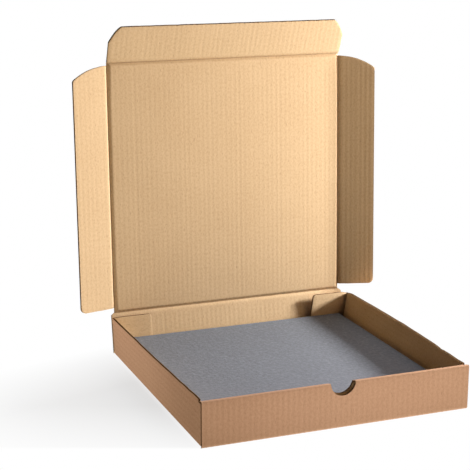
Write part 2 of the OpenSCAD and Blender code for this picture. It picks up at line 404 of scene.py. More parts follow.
def board(mesh, u, v, place, height, wear_shade_and_highlight=None, seed=1, keep=None, warped=1.0):
    """Adds one corrugated panel. The inner face stands at height above the outer face.
    The medium swings between the two liners as a cosine of u, so it is crushed wherever height is low.
    Both liners dip a little between the flute tips that carry them, and the whole panel has a slight warp
    that dies out at its creases."""
    u_grid = np.broadcast_to(u[:, None], v.shape)
    swing = 0.5 + 0.5 * wave(u_grid)
    firm = np.clip(height / BOARD, 0, 1) ** 2
    dip_across = DIP_ACROSS * ripple(u_grid, seed, *DIP_ACROSS_WAVES)
    dip_along = DIP_ALONG * ripple(v, seed + 1, *DIP_ALONG_WAVES)
    dip = WASHBOARD * (1 + dip_across + dip_along)
    away = np.clip((height - BEAD_R) / (BOARD - BEAD_R), 0, 1) ** 2
    bow = (ripple(u_grid, seed + 2, *WARP_ACROSS_WAVES) + ripple(v, seed + 3, *WARP_ALONG_WAVES)) / 2
    warp = WARP * warped * away * bow
    outer = warp + dip * swing
    inner = height + warp - dip * firm * (1 - swing)
    room = inner - outer - 2 * LINER - MEDIUM
    middle = outer + LINER + MEDIUM / 2 + np.maximum(room, 0) * swing
    middle = np.minimum(middle, inner - MEDIUM / 2 - MEDIUM_CLEAR)
    wear_shade_and_highlight = np.zeros_like(v) if wear_shade_and_highlight is None else wear_shade_and_highlight
    uv = np.stack([u_grid + SEED_FLUTES * seed * FLUTE, v + SEED_ALONG * seed], -1)

    def layer(low, high, finishes):
        """One paper of the board, from one height to another."""
        mesh.sheet(place(u_grid, v, low), place(u_grid, v, high), uv, wear_shade_and_highlight, finishes, keep)

    layer(outer, outer + LINER, (OUTSIDE, CORE, CORE))
    layer(middle - MEDIUM / 2, middle + MEDIUM / 2, (CORE, CORE, CORE))
    layer(inner - LINER, inner, (CORE, INSIDE, CORE))


def flat_place(origin, across, along, inward):
    """Puts panel coordinates into a plane. The fold line of the panel lies BEAD_R above its outer face."""
    across, along, inward = unit(across), unit(along), unit(inward)

    def place(u, v, w):
        """The origin and a step along each direction."""
        return origin + u[..., None] * across + v[..., None] * along + (w - BEAD_R)[..., None] * inward

    return place


def arc_fall(way, radius):
    """How far a circle falls away from a tangent, at a way along it from where they touch."""
    return radius - np.sqrt(np.maximum(radius ** 2 - way ** 2, 0))


def rows_between(low, high, rows):
    """Rows of a panel whose ends are low and high: each row keeps its share of the way between them."""
    share = (rows - rows[0]) / (rows[-1] - rows[0])
    return low[:, None] + share[None, :] * (high - low)[:, None]


def flute_bite(u, distance):
    """A crease across the flutes bites deeper where the medium stands, so its distance is read as shorter by
    up to BITE there."""
    return distance * (1 - BITE * (0.5 + 0.5 * wave(u)))


def cut_pinch(distance):
    """How much a cut edge is pinched: it dies out as the exponential of the distance from it."""
    return CUT_PINCH * np.exp(-np.maximum(distance, 0) / CUT_SOFT)


def crease_wear_and_shade(distance):
    """How dark the paper is at a distance from a fold, by wear and by painted shade in the crease: a power of
    what is left of its reach.
    """
    return CREASE_WEAR_AND_SHADE * np.clip(1 - distance / CREASE_WEAR_SHADE_REACH, 0, 1) ** CREASE_WEAR_SHADE_FALL


def bend_height(distance):
    """Height of the inner face at a distance from the middle of a fixed bend: a bell-shaped dip to BEND_H."""
    return BOARD - (BOARD - BEND_H) * np.exp(-(distance / BEND_SPREAD) ** 2)


# Frames of the moving panels, from the joints
RIGHT = np.array([1.0, 0.0, 0.0])
back_origin = joint_point("back_wall_fold")
lid_origin = joint_point("lid_hinge")
tuck_origin = joint_point("tuck_flap_fold")
back_len = np.linalg.norm(lid_origin - back_origin)
lid_len = np.linalg.norm(tuck_origin - lid_origin)
lid_half_w = joint_point("right_wing_fold")[0]
back_up = unit(lid_origin - back_origin)
lid_up = unit(tuck_origin - lid_origin)
TUCK_FOLD = math.radians(-joints["tuck_flap_fold"]["range_deg"][0])
LEFT_FOLD = math.radians(-joints["left_wing_fold"]["range_deg"][0])
RIGHT_FOLD = math.radians(-joints["right_wing_fold"]["range_deg"][0])
wing_end = lid_len - WING_TOP_GAP


def inward_of(up):
    """The inside direction of a panel that stands along up: towards the front."""
    return np.cross(RIGHT, up)


lid_in = inward_of(lid_up)
tuck_up = math.cos(TUCK_FOLD) * lid_up + math.sin(TUCK_FOLD) * lid_in


# Materials
class Nodes:
    """The node tree of a material or world, with short calls for the nodes they share."""

    def __init__(self, owner):
        owner.use_nodes = True
        self.owner = owner
        self.tree = owner.node_tree
        self.shader = self.tree.nodes.get("Principled BSDF")

    def fill(self, node, inputs):
        """Sets each given input of a node to a plain value, or links an output to it."""
        for key, value in inputs.items():
            if isinstance(value, (int, float, tuple)):
                node.inputs[key].default_value = value
            else:
                self.tree.links.new(value, node.inputs[key])

    def new(self, kind, inputs=None, **settings):
        """A new node with the given settings and inputs."""
        node = self.tree.nodes.new(kind)
        for key, value in settings.items():
            setattr(node, key, value)
        self.fill(node, inputs or {})
        return node

    def math(self, operation, a, b=0.0, clamp=False):
        """The named operation on a and b."""
        node = self.new("ShaderNodeMath", {0: a, 1: b}, operation=operation, use_clamp=clamp)
        return node.outputs[0]

    def mix(self, factor, a, b):
        """Colour a where factor is 0, colour b where it is 1."""
        node = self.new("ShaderNodeMix", {"Factor": factor, "A": a, "B": b}, data_type="RGBA")
        return node.outputs["Result"]

    def mapped(self, vector, scale, turn=0.0):
        """A place turned about Z and scaled."""
        inputs = {"Vector": vector, "Scale": scale, "Rotation": (0, 0, turn)}
        return self.new("ShaderNodeMapping", inputs).outputs["Vector"]

    def noise(self, vector, scale, detail=2.0, roughness=0.5):
        """Noise at a place, from 0 to 1."""
        inputs = {"Vector": vector, "Scale": scale, "Detail": detail, "Roughness": roughness}
        return self.new("ShaderNodeTexNoise", inputs).outputs["Fac"]

    def ramp(self, value, low, high):
        """0 below low, 1 above high, straight between."""
        inputs = {"Value": value, "From Min": low, "From Max": high}
        return self.new("ShaderNodeMapRange", inputs).outputs["Result"]

    def laid(self, under, over, mask, low, high, amount):
        """Lays colour over on colour under, by amount times the mask's ramp from low to high."""
        return self.mix(self.math("MULTIPLY", self.ramp(mask, low, high), amount), under, over)

    def added(self, a, b):
        """Two shaders added together."""
        return self.new("ShaderNodeAddShader", {0: a, 1: b}).outputs[0]

    def faded(self, factor, a, b):
        """Shader a where factor is 0, shader b where it is 1."""
        return self.new("ShaderNodeMixShader", {0: factor, 1: a, 2: b}).outputs[0]

    def emission(self, colour, strength):
        """A shader that gives off light of a colour and strength."""
        return self.new("ShaderNodeEmission", {"Color": colour, "Strength": strength}).outputs[0]

    def bump(self, height, distance, strength=1.0):
        """Fine relief on the finish."""
        inputs = {"Height": height, "Distance": distance, "Strength": strength}
        self.fill(self.shader, {"Normal": self.new("ShaderNodeBump", inputs).outputs["Normal"]})


# Turn and scale of the three ways in which fibres lie in the liners and in the pad
KRAFT_FIBRES = ((0.5, (900, 160, 1)), (-0.7, (820, 140, 1)), (1.5, (980, 190, 1)))
FELT_FIBRES = ((0.3, (620, 110, 300)), (1.4, (560, 120, 300)), (-0.8, (640, 130, 300)))

# Tones of a liner against its dark and light ones, darker for wear and painted shade, paler for painted
# highlight, and how far the tone attribute brings them out
WORN_AND_SHADED_TONE = 0.66
HIGHLIGHT_SHARE = 1.15
WEAR_SHADE_HIGHLIGHT_SHOWS = 0.9


def kraft(name, base, dark, light, fleck, flank_shade):
    """Kraft liner: cloudy pulp, a line of painted shade on one flank of each flute (its strength given, below
    0 on the other flank), fine paler and darker pulp, short dark fibres. Above 0 the tone attribute of the
    piece darkens it as wear and painted shade, below 0 it lightens it as a painted highlight."""
    m = Nodes(bpy.data.materials.new(name))
    uv = m.new("ShaderNodeUVMap", uv_map="board").outputs["UV"]
    place = m.new("ShaderNodeSeparateXYZ", {0: uv})
    cloud = m.noise(uv, scale=18, detail=3)
    pulp = m.noise(m.mapped(uv, (1.5, 1, 1)), scale=330, detail=3, roughness=0.6)
    grain = m.noise(m.mapped(uv, (1.6, 1, 1)), scale=900)
    # A line on one flank of each flute: painted shade of the flute's relief
    line = m.math("SINE", m.math("MULTIPLY", place.outputs[0], 2 * math.pi / FLUTE))
    flank = math.copysign(1, flank_shade)
    colour = m.laid(base, dark, cloud, low=0.3, high=0.7, amount=0.22)
    colour = m.laid(colour, dark, line, low=-flank, high=flank, amount=abs(flank_shade))
    colour = m.laid(colour, light, pulp, low=0.45, high=0.75, amount=0.5)
    colour = m.laid(colour, dark, pulp, low=0.5, high=0.25, amount=0.5)
    colour = m.laid(colour, dark, grain, low=0.5, high=0.8, amount=0.4)
    for turn, scale in KRAFT_FIBRES:
        fibre = m.noise(m.mapped(uv, scale, turn), scale=1, detail=1)
        colour = m.laid(colour, fleck, fibre, low=0.70, high=0.78, amount=0.5)
    wear_shade_and_highlight = m.new("ShaderNodeAttribute", attribute_name="wear_shade_and_highlight").outputs["Fac"]
    # Darker tone for wear and painted shade
    worn_and_shaded = tuple(WORN_AND_SHADED_TONE * part for part in dark[:3]) + (1,)
    # Paler tone for painted highlight
    pale_highlight = tuple(HIGHLIGHT_SHARE * part for part in light[:3]) + (1,)
    colour = m.mix(m.math("MULTIPLY", wear_shade_and_highlight, WEAR_SHADE_HIGHLIGHT_SHOWS, clamp=True), colour, worn_and_shaded)
    colour = m.mix(m.math("MULTIPLY", wear_shade_and_highlight, -WEAR_SHADE_HIGHLIGHT_SHOWS, clamp=True), colour, pale_highlight)
    rough = m.math("ADD", m.math("MULTIPLY", pulp, 0.12), 0.82)
    m.fill(m.shader, {"Base Color": colour, "Roughness": rough, "Specular IOR Level": 0.0})
    m.bump(m.math("ADD", pulp, m.math("MULTIPLY", grain, 0.6)), distance=0.00006, strength=0.6)
    return m.owner


def cut_paper(name, base, dark):
    """Cut edges and the medium: browner paper, darkened further as painted shade of the open flutes, with
    torn fibres along the edge.
    """
    m = Nodes(bpy.data.materials.new(name))
    spot = m.new("ShaderNodeTexCoord").outputs["Object"]
    fuzz = m.noise(spot, scale=900, detail=3, roughness=0.7)
    colour = m.mix(m.ramp(fuzz, low=0.3, high=0.75), dark, base)
    m.fill(m.shader, {"Base Color": colour, "Roughness": 0.92, "Specular IOR Level": 0.0})
    m.bump(fuzz, distance=0.00008)
    return m.owner


def felt(name, base, dark, light):
    """Grey fibre pad: soft clouds, painted shade that darkens it towards the rear, small tufts without a
    direction, and faint crossed fibres over them."""
    m = Nodes(bpy.data.materials.new(name))
    spot = m.new("ShaderNodeTexCoord").outputs["Object"]
    cloud = m.noise(spot, scale=26, detail=3, roughness=0.55)
    tuft = m.noise(spot, scale=240, detail=3, roughness=0.6)
    lint = m.noise(spot, scale=700, roughness=0.6)
    place = m.new("ShaderNodeSeparateXYZ", {0: spot})
    colour = m.laid(base, dark, cloud, low=0.3, high=0.7, amount=0.4)
    # Painted shade: darker towards the rear, by the lid and back wall
    colour = m.laid(colour, dark, place.outputs[1], low=-0.08, high=0.11, amount=1.0)
    colour = m.laid(colour, light, tuft, low=0.48, high=0.70, amount=0.85)
    colour = m.laid(colour, dark, tuft, low=0.5, high=0.30, amount=0.85)
    colour = m.laid(colour, light, lint, low=0.5, high=0.75, amount=0.7)
    for turn, scale in FELT_FIBRES:
        fibre = m.noise(m.mapped(spot, scale, turn), scale=1, detail=1)
        colour = m.laid(colour, light, fibre, low=0.62, high=0.75, amount=0.3)
    m.fill(m.shader, {"Base Color": colour, "Roughness": 0.95, "Specular IOR Level": 0.0})
    m.fill(m.shader, {"Sheen Weight": 0.15, "Sheen Roughness": 0.6})
    m.bump(m.math("ADD", tuft, m.math("MULTIPLY", lint, 0.4)), distance=0.0006, strength=0.5)
    return m.owner


kraft_outside = kraft(
    "kraft_outside",
    base=(0.570, 0.362, 0.242, 1),
    dark=(0.458, 0.273, 0.170, 1),
    light=(0.635, 0.418, 0.293, 1),
    fleck=(0.281, 0.161, 0.097, 1),
    flank_shade=0.33,
)
kraft_inside = kraft(
    "kraft_inside",
    base=(0.562, 0.408, 0.243, 1),
    dark=(0.441, 0.298, 0.160, 1),
    light=(0.630, 0.475, 0.300, 1),
    fleck=(0.270, 0.176, 0.089, 1),
    flank_shade=-0.05,
)
# Core tones: brown paper, darkened further as painted shade of the cut edges
core_paper_and_edge_shade = cut_paper("core_paper_and_edge_shade", base=(0.250, 0.152, 0.082, 1), dark=(0.150, 0.088, 0.046, 1))
pad_felt = felt(
    "pad_felt",
    base=(0.075, 0.084, 0.107, 1),
    dark=(0.054, 0.063, 0.081, 1),
    light=(0.105, 0.118, 0.145, 1),
)
BOARD_FINISHES = (kraft_outside, kraft_inside, core_paper_and_edge_shade)


def ready(mesh, name, body, slot, *nodes):
    """Makes the piece, lets it ride on its body and stand for the named nodes."""
    obj = mesh.piece(name, BOARD_FINISHES)
    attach(obj, body)
    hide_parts(*nodes)


def lid_piece():
    """Lid: grooves along all four sides. Both wing grooves widen towards their ends as a bell curve of the
    way to the end, and the paper in the right one carries a painted highlight."""
    mesh = Mesh()
    edge = lid_half_w - HALF_SLIT
    u = stations(-edge, edge, COLUMN, CREASE_STEPS, CREASE_STEPS)
    v = repeated(stations(HALF_SLIT, lid_len - HALF_SLIT, LID_ROW, CREASE_STEPS, CREASE_STEPS), u)
    to_side = lid_half_w - np.abs(u)[:, None] + 0 * v
    end = np.minimum(v, lid_len - v)
    side = crease_height(to_side / (1 + GROOVE_WIDEN * np.exp(-(end / GROOVE_WIDEN_LEN) ** 2)))
    to_end = np.minimum(flute_bite(u[:, None], v), flute_bite(u[:, None], lid_len - v))
    height = smooth_min(side, crease_height(to_end), MEET_SOFT)
    # Wear and painted shade near the creases
    wear_shade_and_highlight = np.maximum(crease_wear_and_shade(to_side), crease_wear_and_shade(to_end))
    # Painted highlight in the right wing's groove
    wear_shade_and_highlight = wear_shade_and_highlight - np.clip(GROOVE_HIGHLIGHT - to_side / GROOVE_HIGHLIGHT_W, 0, 1) * (u > 0)[:, None]
    board(mesh, u, v, flat_place(lid_origin, RIGHT, lid_up, lid_in), height, wear_shade_and_highlight, seed=3)
    mesh.rod(tuck_origin - RIGHT * lid_half_w, tuck_origin + RIGHT * lid_half_w, BEAD_R, lid_in)
    for sign in (-1, 1):
        foot = lid_origin + sign * RIGHT * lid_half_w
        mesh.rod(foot + WING_START * lid_up, foot + wing_end * lid_up, BEAD_R, lid_in)
    ready(mesh, "lid", "lid", "kraft_inside", "lid_panel")


def tuck_piece():
    """Tuck flap: its free corners are cut back along a straight line with a parabola's bulge."""
    mesh = Mesh()
    u = stations(-lid_half_w, lid_half_w, COLUMN, CUT_STEPS, CUT_STEPS)
    rows = stations(HALF_SLIT, TUCK_H, FLAP_ROW, CREASE_STEPS, CUT_STEPS)
    share = np.clip((np.abs(u) - (lid_half_w - TUCK_CUT_W)) / TUCK_CUT_W, 0, 1)
    bulge = TUCK_BULGE * 4 * share * (1 - share) * math.hypot(TUCK_CUT_W, TUCK_CUT_H) / TUCK_CUT_W
    top = TUCK_H - share * TUCK_CUT_H + bulge + TUCK_CUT_WAVE * ripple(u, 31, *TUCK_CUT_WAVES)
    v = rows_between(np.full_like(u, HALF_SLIT), top, rows)
    fold = flute_bite(u[:, None], v)
    to_cut = np.minimum(top[:, None] - v, lid_half_w - np.abs(u)[:, None])
    height = crease_height(fold) - cut_pinch(to_cut)
    place = flat_place(tuck_origin, RIGHT, tuck_up, inward_of(tuck_up))
    # Wear and painted shade near the crease
    board(mesh, u, v, place, height, crease_wear_and_shade(fold), seed=5)
    ready(mesh, "tuck_flap_board", "tuck_flap", "kraft_inside", "tuck_flap")


def wing_outline(u):
    """Ends of a wing at each distance u from its fold: below, a straight edge with a quarter circle at its
    corner; above, the large circle, which turns down at its tip."""
    corner = np.clip(u - (WING_W - WING_CORNER_R), 0, WING_CORNER_R)
    tip = np.clip(u - (WING_W - WING_TIP_R), 0, WING_TIP_R)
    low = WING_START + arc_fall(corner, WING_CORNER_R)
    high = wing_end - arc_fall(u, WING_END_R) - WING_TIP_FALL * arc_fall(tip, WING_TIP_R)
    return low, high


def wing_piece(name, node, side, angle, seed, flute_shade):
    """A wing of the lid: fold line at u = 0, flutes along the fold, ends as in its outline with a slight
    unevenness. Its flutes show as stripes of painted shade and painted highlight, a sine of u of the given
    strength."""
    mesh = Mesh()
    u = stations(HALF_SLIT, WING_W, SMALL_COLUMN, CREASE_STEPS, WING_EDGE_STEPS)
    low, high = wing_outline(u)
    low = low + WING_CUT_WAVE * ripple(u, seed + 7, *WING_CUT_WAVES)
    high = high + WING_CUT_WAVE * ripple(u, seed + 8, *WING_CUT_WAVES)
    v = rows_between(low, high, stations(0.0, 1.0, WING_ROW_SHARE, WING_END_SHARES, WING_END_SHARES))
    fold = u[:, None] + 0 * v
    to_cut = np.minimum(v - low[:, None], high[:, None] - v)
    height = crease_height(fold) - cut_pinch(to_cut)
    across = side * math.cos(angle) * RIGHT + math.sin(angle) * lid_in
    inward = math.cos(angle) * lid_in - side * math.sin(angle) * RIGHT
    origin = lid_origin + side * lid_half_w * RIGHT
    # Painted shade and painted highlight in stripes along the flutes
    wear_shade_and_highlight = crease_wear_and_shade(fold) + flute_shade * np.sin(2 * np.pi * fold / FLUTE)
    board(mesh, u, v, flat_place(origin, across, lid_up, inward), height, wear_shade_and_highlight, seed=seed)
    ready(mesh, name, node, "kraft_inside", node)


def back_piece():
    """Back wall: a groove at the floor and one at the lid, its top corners cut back beside the lid."""
    mesh = Mesh()
    u = stations(-HALF_W, HALF_W, COLUMN, CUT_STEPS, CUT_STEPS)
    rows = stations(HALF_SLIT, back_len - HALF_SLIT, FLAP_ROW, CREASE_STEPS, CREASE_STEPS)
    share = np.clip((np.abs(u) - lid_half_w - BEAD_R) / (HALF_W - lid_half_w - BEAD_R), 0, 1)
    top = back_len - HALF_SLIT - CORNER_CUT * share
    v = rows_between(np.full_like(u, HALF_SLIT), top, rows)
    to_fold = np.minimum(flute_bite(u[:, None], v), flute_bite(u[:, None], back_len - v))
    height = crease_height(to_fold) - cut_pinch(HALF_W - np.abs(u)[:, None] + 0 * v)
    place = flat_place(back_origin, RIGHT, back_up, inward_of(back_up))
    # Wear and painted shade near both creases
    board(mesh, u, v, place, height, crease_wear_and_shade(to_fold), seed=9)
    mesh.rod(lid_origin - RIGHT * lid_half_w, lid_origin + RIGHT * lid_half_w, BEAD_R, lid_in)
    ready(mesh, "back_wall_board", "back_wall", "kraft_inside", "back_wall")


def rim_height(y):
    """Height of a side wall's top: it rises evenly from the rear to the rolled front and steps down there."""
    rise = WALL_H + RIM_RISE * (REAR_END_Y - y) / (REAR_END_Y - FRONT_INNER_Y)
    return np.where(y > FRONT_INNER_Y + RIM_STEP, rise, WALL_H)


def wall_lean(side, y, z):
    """How far a side wall leans out: by its height, or by its way from the front while that is less,
    which is a sheet bent along one diagonal, with that bend softened."""
    slope = math.tan(LEFT_SPLAY if side < 0 else RIGHT_SPLAY)
    held_y = FRONT_INNER_Y + HELD_LEN
    full = rim_height(np.array(held_y + LEAN_LEN)) - BOARD
    by_height = (z - BOARD) / full
    by_way = (y - held_y) / LEAN_LEN
    return slope * full * np.clip(smooth_min(by_height, by_way, LEAN_SOFT), 0, LEAN_MOST)


def rim_change(side, y):
    """What the rim adds to the plain height of a side wall. First its rise, then all the rest: a straight
    cut at its rear corner, a slight unevenness that dies out towards that corner, and a bell-shaped dent in
    the right wall."""
    cut = LEFT_CUT if side < 0 else RIGHT_CUT
    into = np.clip((y - REAR_END_Y + WALL_CUT_L) / WALL_CUT_L, 0, 1)
    calm = np.clip((REAR_END_Y - y) / RIM_CALM, 0, 1)
    uneven = RIM_WAVE * ripple(y, 41 if side < 0 else 43, *RIM_WAVES) * calm
    dent = DENT * np.exp(-((y - DENT_Y) / DENT_W) ** 2) if side > 0 else 0.0
    return rim_height(y) - WALL_H, uneven - cut * into - dent


def base_place(u, v, w):
    """Floor and both side walls as one bent strip: u runs along its outer face, v is Y.
    Flat out to the inner half width, a quarter turn of BEND_R, then straight up."""
    side = np.where(u < 0, -1.0, 1.0)
    run = np.abs(u) - INNER_HALF_W
    turn = np.clip(run / BEND_R, 0, np.pi / 2)
    rise = np.maximum(run - BEND_LEN, 0)
    x = np.minimum(np.abs(u), INNER_HALF_W) + (BEND_R - w) * np.sin(turn)
    z = BEND_R - (BEND_R - w) * np.cos(turn) + rise
    share = np.clip((z - BOARD) / (WALL_H - BOARD), 0, 1)
    left, right = rim_change(-1, v), rim_change(1, v)
    z = z + left[0] * share + np.where(side < 0, left[1], right[1]) * share ** 3
    lean = np.where(side < 0, wall_lean(-1, v, z), wall_lean(1, v, z))
    return np.stack([side * (x + lean), v, z], -1)


def slot_edges():
    """Both edges in Y of the floor's slots, which the lock tabs of the front wall stand in."""
    return FRONT_INNER_Y - BOARD / 2 + np.array([-1, 1]) * (BOARD / 2 + TUCK_GAP)


def slot_cells(u, rows):
    """The cells of the floor's grid that lie in a slot."""
    mid_u = (u[1:] + u[:-1]) / 2
    mid_row = (rows[1:] + rows[:-1]) / 2
    front, rear = slot_edges()
    across = np.abs(np.abs(mid_u) - TAB_X) < TAB_W / 2 + TUCK_GAP
    along = (mid_row > front) & (mid_row < rear)
    return across[:, None] & along[None, :]


def base_sheet(mesh):
    """Floor and side walls. The floor reaches its rear groove, the walls stop where the rear ears turn in, so
    the rows behind FLOOR_EVEN_Y are drawn together on the walls."""
    half = INNER_HALF_W + BEND_LEN + WALL_H - BEND_R
    slots = [sign * TAB_X + edge * (TAB_W / 2 + TUCK_GAP) for sign in (-1, 1) for edge in (-1, 1)]
    floor_u = stations(-INNER_HALF_W, INNER_HALF_W, FLOOR_COLUMN)
    bend_u = INNER_HALF_W + np.linspace(0, BEND_LEN, 6)
    wall_u = stations(INNER_HALF_W + BEND_LEN, half, COLUMN, (), CUT_STEPS)
    u = merged(floor_u, bend_u, -bend_u, wall_u, -wall_u, slots)
    rows = stations(WALL_START_Y, BACK_Y - BEAD_R - HALF_SLIT, FLOOR_ROW, (0.0, 0.001), CREASE_STEPS)
    rim_steps = FRONT_INNER_Y + RIM_STEP * np.array([0.5, 1.5])
    dent_rows = DENT_Y + DENT_W * np.linspace(-2, 2, 9)
    rows = merged(rows, slot_edges(), rim_steps, dent_rows, [REAR_END_Y - WALL_CUT_L])
    wall = np.clip((np.abs(u) - INNER_HALF_W) / BEND_LEN, 0, 1)
    high = rows[-1] + (REAR_END_Y - BEND_R - rows[-1]) * wall
    near_rear = np.clip((rows - FLOOR_EVEN_Y) / (rows[-1] - FLOOR_EVEN_Y), 0, 1)
    v = rows[None, :] + near_rear[None, :] * (high - rows[-1])[:, None]
    floor_crease = flute_bite(u[:, None], rows[-1] + HALF_SLIT - v) + WALL_OFF_CREASE * wall[:, None]
    from_bend = np.abs(np.abs(u) - INNER_HALF_W - BEND_LEN / 2)[:, None]
    height = smooth_min(crease_height(floor_crease), bend_height(from_bend), MEET_SOFT)
    height = height - cut_pinch(half - np.abs(u)[:, None] + 0 * v)
    # Wear and painted shade at the rear crease and in the bends
    wear_shade_and_highlight = np.maximum(crease_wear_and_shade(floor_crease), BEND_WEAR_AND_SHADE * crease_wear_and_shade(from_bend + 0 * v))
    keep = ~slot_cells(u, rows)
    board(mesh, u, v, base_place, height, wear_shade_and_highlight, seed=11, keep=keep, warped=wall[:, None])


def ear_place(side, corner_y, way):
    """An ear that turns in from the end of a side wall at corner_y, towards way along Y:
    u is height, v runs round a quarter turn of BEND_R and then straight to the middle of the tray."""

    def place(u, v, w):
        """The quarter turn and the straight run, moved with the wall's rim and lean at the corner."""
        turn = np.clip(v / BEND_R, 0, np.pi / 2)
        run = np.maximum(v - BEND_LEN, 0)
        x = INNER_HALF_W + (BEND_R - w) * np.cos(turn) - run
        y = corner_y + way * (BEND_R - w) * np.sin(turn)
        corner = np.full_like(u, corner_y)
        share = np.clip((u - BOARD) / (WALL_H - BOARD), 0, 1)
        rise, cut = rim_change(side, corner)
        fade = np.clip(1 - run / EAR_CUT_W, 0, 1) if way > 0 else 1.0
        z = u + (rise + cut * fade) * share ** 3
        lean = wall_lean(side, corner, z)
        return np.stack([side * (x + lean), y, z], -1)

    return place


def ear_sheet(mesh, side, corner_y, way, length, corner_r, seed, top=WALL_H):
    """A rear or front ear: its free upper corner is a quarter circle of corner_r."""
    low = BOARD + EAR_FLOOR_GAP
    u = stations(low, top, SMALL_COLUMN, CUT_STEPS, (0.0002,) + CUT_STEPS)
    into = np.clip(u - (top - corner_r), 0, corner_r)
    high = BEND_LEN + length - arc_fall(into, corner_r)
    rows = stations(0.0, BEND_LEN + length, FLAP_ROW, np.linspace(0, BEND_LEN, 7), CUT_STEPS)
    v = rows_between(np.zeros_like(u), high, rows)
    to_cut = np.minimum(np.minimum(top - u, u - low)[:, None] + 0 * v, high[:, None] - v)
    from_bend = np.abs(v - BEND_LEN / 2)
    height = bend_height(from_bend) - cut_pinch(to_cut)
    # Wear and painted shade in the ear's bend
    board(mesh, u, v, ear_place(side, corner_y, way), height, BEND_WEAR_AND_SHADE * crease_wear_and_shade(from_bend), seed=seed)


def front_place(u, v, w):
    """Front wall rolled over to the inside: u is X, v runs along its outer face from the floor, in a quarter
    turn, up the front, in two quarter turns over the top, which falls a little to the inside, and down to the
    inner board."""
    stub, foot, front, rim, strip, _ = FRONT_MARKS
    turn1 = np.clip((v - stub) / BEND_R, 0, np.pi / 2)
    up = np.clip(v - foot, 0, FRONT_RISE)
    turn2 = np.clip((v - front) / ROLL_R, 0, np.pi / 2)
    over = np.clip(v - rim, 0, STRIP_LEN)
    turn3 = np.clip((v - strip) / ROLL_R, 0, np.pi / 2)
    r = BEND_R - w
    roll = ROLL_R - w
    y = WALL_START_Y - np.minimum(v, stub) - r * np.sin(turn1)
    z = BEND_R - r * np.cos(turn1) + up + roll * np.sin(turn2)
    y = y + roll * (1 - np.cos(turn2)) + over + roll * np.sin(turn3)
    z = z - roll * (1 - np.cos(turn3)) - ROLL_FALL * over / STRIP_LEN
    return np.stack([u, y, z], -1)


def front_bends(v):
    """Height of the front board's inner face: the lowest of three bell-shaped dips, at the foot and both
    rolled bends."""
    height = bend_height(v - FRONT_STUB - BEND_LEN / 2)
    for start in ROLL_STARTS:
        dip = np.exp(-((v - start - ROLL_LEN / 2) / ROLL_SPREAD) ** 2)
        height = np.minimum(height, BOARD - (BOARD - ROLL_H) * dip)
    return height


def front_rows(last):
    """Rows of the front wall up to last: even up the front, closer in the bends."""
    bends = [start + np.linspace(0, BEND_LEN, 5) for start in (FRONT_STUB, *ROLL_STARTS)]
    bends += [start + np.linspace(0, ROLL_LEN, 6) for start in ROLL_STARTS]
    rows = np.concatenate([stations(0.0, ROLL_STARTS[0], FRONT_ROW)] + bends)
    return merged(rows[rows <= last + 1e-9])


def notch_height(u):
    """Height of the thumb notch's edge: a half circle that hangs from the front wall's top."""
    return FRONT_H - np.sqrt(np.maximum(NOTCH_R ** 2 - (u - NOTCH_X) ** 2, 0))


def front_sheets(mesh):
    """Front wall: full height left and right of the thumb notch, cut to the notch's arc between them. From
    the first rolled bend on it is darkened, as wear and as painted shade over the lit top, a little less
    between the flute tips."""
    rows = front_rows(FRONT_MARKS[5])
    for low, high in ((-HALF_W, NOTCH_X - NOTCH_R), (NOTCH_X + NOTCH_R, HALF_W)):
        u = stations(low, high, COLUMN, CUT_STEPS, CUT_STEPS)
        v = repeated(rows, u)
        # Wear and painted shade over the rolled top
        wear_shade_and_highlight = ROLL_WEAR_AND_SHADE * np.clip((v - ROLL_STARTS[0]) / ROLL_LEN, 0, 1)
        wear_shade_and_highlight = wear_shade_and_highlight * (1 - ROLL_WEAR_AND_SHADE_VARIES + ROLL_WEAR_AND_SHADE_VARIES * wave(u))[:, None]
        pinch = cut_pinch(np.minimum(u - low, high - u)[:, None] + 0 * v)
        board(mesh, u, v, front_place, front_bends(v) - pinch, wear_shade_and_highlight, seed=21)
    u = NOTCH_X - NOTCH_R * np.cos(np.linspace(0, np.pi, NOTCH_COLUMNS))
    notch_z = notch_height(u)
    on_bend = np.arcsin(np.clip((notch_z - TOP_Z) / ROLL_R, 0, 1)) * ROLL_R
    high = FRONT_MARKS[1] + np.minimum(notch_z, TOP_Z) - BEND_R + on_bend
    v = rows_between(np.zeros_like(u), high, front_rows(FRONT_MARKS[3]))
    pinch = cut_pinch(high[:, None] - v)
    board(mesh, u, v, front_place, front_bends(v) - pinch, seed=21)


def inner_front_sheet(mesh):
    """Inner board of the rolled wall, with its outer face to the inside of the tray, cut to the notch's arc,
    and the two lock tabs."""
    half = INNER_HALF_W - TUCK_GAP
    notch = NOTCH_X + np.cos(np.linspace(0, np.pi, INNER_NOTCH_COLUMNS)) * NOTCH_R
    u = stations(-half, half, COLUMN, CUT_STEPS, CUT_STEPS)
    u = merged(u[np.abs(u - NOTCH_X) > NOTCH_R], notch)
    top = TOP_Z - ROLL_FALL
    high = np.where(np.abs(u - NOTCH_X) < NOTCH_R, np.minimum(notch_height(u), top), top)
    rows = stations(BOARD, top, FRONT_ROW, FOOT_STEPS, FOOT_STEPS)
    v = rows_between(np.full_like(u, BOARD), high, rows)
    origin = np.array([0.0, FRONT_INNER_Y - BEAD_R, 0.0])
    place = flat_place(origin, RIGHT, (0, 0, 1), (0, -1, 0))
    to_notch = np.where(high < top, high, 1.0)[:, None] - v
    pinch = cut_pinch(np.minimum(half - np.abs(u)[:, None], to_notch))
    board(mesh, u, v, place, BOARD - pinch, seed=23)
    for sign in (-1, 1):
        u = stations(sign * TAB_X - TAB_W / 2, sign * TAB_X + TAB_W / 2, COLUMN)
        v = repeated(np.linspace(TUCK_GAP, BOARD, 3), u)
        board(mesh, u, v, place, np.full_like(v, BOARD - CUT_PINCH), seed=25)


